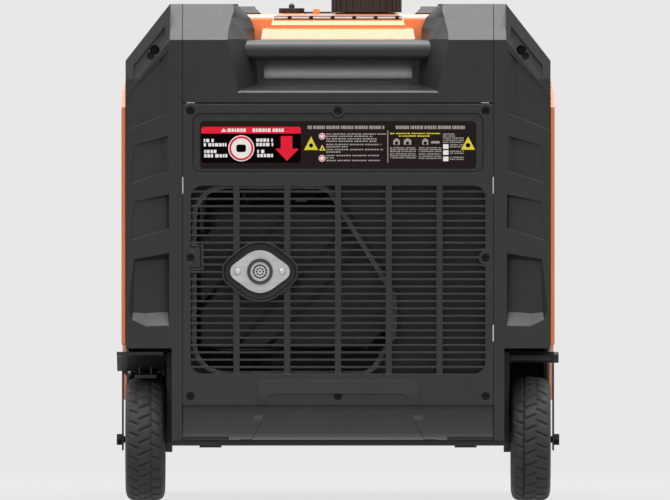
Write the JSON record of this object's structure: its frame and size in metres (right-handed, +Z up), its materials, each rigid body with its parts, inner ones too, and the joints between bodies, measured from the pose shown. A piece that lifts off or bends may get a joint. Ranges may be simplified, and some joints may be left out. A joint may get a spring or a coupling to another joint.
{
  "type": "inverter generator",
  "caption": "Closed-frame portable inverter generator on two wheels, with grip bars, louvred exhaust cover, foot brake and pull-out handle.",
  "frame": {"origin": "on the floor under the middle of the machine's overall box", "axes": "+X to the right when facing the exhaust end, +Y from the exhaust end to the control end, +Z up"},
  "size_m": [0.5286, 0.655, 0.621],
  "materials": {
    "shell_plastic": "fine-grained dark grey moulded plastic",
    "handle_plastic": "dark grey grip plastic, slightly smoother",
    "orange_plastic": "glossy orange moulded plastic",
    "black_plastic": "black moulded plastic",
    "button_green": "green push button",
    "button_red": "red push button",
    "tank_plastic": "blow-moulded tank plastic",
    "label_film": "printed label film with plain colour blocks",
    "painted_steel": "black painted steel",
    "bright_steel": "zinc-plated steel",
    "screw_steel": "black zinc screws",
    "stator_core": "laminated core with copper windings",
    "stainless": "satin stainless steel",
    "hot_steel": "heat-darkened steel",
    "cast_aluminium": "cast aluminium",
    "plug_ceramic": "glazed insulator",
    "tyre_rubber": "dark grey rubber tread",
    "rim_plastic": "black nylon rim",
    "foot_rubber": "black rubber",
    "display_glass": "smoked display window"
  },
  "bodies": {
    "chassis": {"ac_outlets": "black_plastic", "air_cleaner": "black_plastic", "axle_bolts": "screw_steel", "base_frame": "painted_steel", "battery": "black_plastic", "brake_spring": "bright_steel", "cap_tether": "black_plastic", "carburettor": "cast_aluminium", "control_panel": "shell_plastic", "cover_screws": "screw_steel", "cylinder_head": "cast_aluminium", "display_window": "display_glass", "engine_block": "cast_aluminium", "engine_mounts": "foot_rubber", "exhaust_baffle": "painted_steel", "exhaust_cover": "shell_plastic", "exhaust_flange": "stainless", "fan_shroud": "painted_steel", "flange_screws": "bright_steel", "front_cowl": "shell_plastic", "front_feet": "foot_rubber", "front_handle": "handle_plastic", "fuel_tank": "tank_plastic", "ground_terminal": "bright_steel", "inverter_module": "black_plastic", "label_plate": "label_film", "left_louvre": "black_plastic", "left_side_frame": "shell_plastic", "left_side_panel": "orange_plastic", "muffler": "hot_steel", "panel_clips": "bright_steel", "rear_cowl": "shell_plastic", "rear_handle": "handle_plastic", "right_side_frame": "shell_plastic", "right_side_panel": "orange_plastic", "spark_arrestor": "stainless", "spark_plug": "plug_ceramic", "stator": "stator_core", "switch_collars": "black_plastic", "top_cover": "orange_plastic", "tow_sleeves": "painted_steel", "wheel_forks": "painted_steel"},
    "left_wheel": {"left_tyre": "tyre_rubber", "left_rim": "rim_plastic"},
    "right_wheel": {"right_tyre": "tyre_rubber", "right_rim": "rim_plastic"},
    "brake": {"brake_pedal": "painted_steel"},
    "cap": {"fuel_cap": "black_plastic"},
    "crank": {"crankshaft": "bright_steel", "rotor": "bright_steel", "cooling_fan": "black_plastic"},
    "starter_pulley": {"recoil_pulley": "black_plastic"},
    "starter_grip": {"recoil_handle": "black_plastic"},
    "start_key": {"start_button": "button_green"},
    "mode_dial": {"mode_knob": "black_plastic"},
    "eco_rocker": {"eco_switch": "black_plastic"},
    "breaker": {"breaker_button": "button_red"},
    "lid_1": {"outlet_lid_1": "black_plastic"},
    "lid_2": {"outlet_lid_2": "black_plastic"},
    "tow_bar": {"tow_handle": "handle_plastic"}
  },
  "joints": [
    {"name": "left_wheel_spin", "type": "hinge", "parent": "chassis", "child": "left_wheel", "pos_m": [-0.23, -0.245, 0.075], "axis": [1, 0, 0], "continuous": true},
    {"name": "right_wheel_spin", "type": "hinge", "parent": "chassis", "child": "right_wheel", "pos_m": [0.23, -0.245, 0.075], "axis": [1, 0, 0], "continuous": true},
    {"name": "brake_press", "type": "hinge", "parent": "chassis", "child": "brake", "pos_m": [-0.228, -0.252, 0.1567], "axis": [1, 0, 0], "range_deg": [0, 9], "stiffness_Nm_per_rad": 0.9, "springref_deg": -17.19},
    {"name": "cap_turn", "type": "hinge", "parent": "chassis", "child": "cap", "pos_m": [0.0345, 0, 0.59], "axis": [0, 0, 1], "range_deg": [0, 90]},
    {"name": "crank_spin", "type": "hinge", "parent": "chassis", "child": "crank", "pos_m": [0, 0, 0.205], "axis": [0, 1, 0], "continuous": true},
    {"name": "starter_pull", "type": "slide", "parent": "chassis", "child": "starter_grip", "axis": [1, 0, 0], "range_m": [0, 0.25], "stiffness_N_per_m": 25, "springref_m": -0.05},
    {"name": "pulley_spin", "type": "hinge", "parent": "chassis", "child": "starter_pulley", "pos_m": [0, 0.165, 0.205], "axis": [0, 1, 0], "range_deg": [0, 265]},
    {"name": "start_press", "type": "slide", "parent": "chassis", "child": "start_key", "axis": [0, -1, 0], "range_m": [0, 0.003], "stiffness_N_per_m": 400},
    {"name": "mode_turn", "type": "hinge", "parent": "chassis", "child": "mode_dial", "pos_m": [-0.112, 0.316, 0.322], "axis": [0, 1, 0], "range_deg": [-45, 90]},
    {"name": "eco_rock", "type": "hinge", "parent": "chassis", "child": "eco_rocker", "pos_m": [0.016, 0.312, 0.322], "axis": [1, 0, 0], "range_deg": [-10, 0]},
    {"name": "breaker_press", "type": "slide", "parent": "chassis", "child": "breaker", "axis": [0, -1, 0], "range_m": [0, 0.003], "stiffness_N_per_m": 300},
    {"name": "lid_1_swing", "type": "hinge", "parent": "chassis", "child": "lid_1", "pos_m": [-0.084, 0.3194, 0.26], "axis": [1, 0, 0], "range_deg": [0, 110]},
    {"name": "lid_2_swing", "type": "hinge", "parent": "chassis", "child": "lid_2", "pos_m": [0.004, 0.3194, 0.26], "axis": [1, 0, 0], "range_deg": [0, 110]},
    {"name": "tow_slide", "type": "slide", "parent": "chassis", "child": "tow_bar", "axis": [0, 0, 1], "range_m": [0, 0.35]}
  ],
  "couplings": [
    {"joint": "pulley_spin", "follows": "starter_pull", "rad_per_m": 18.182}
  ]
}
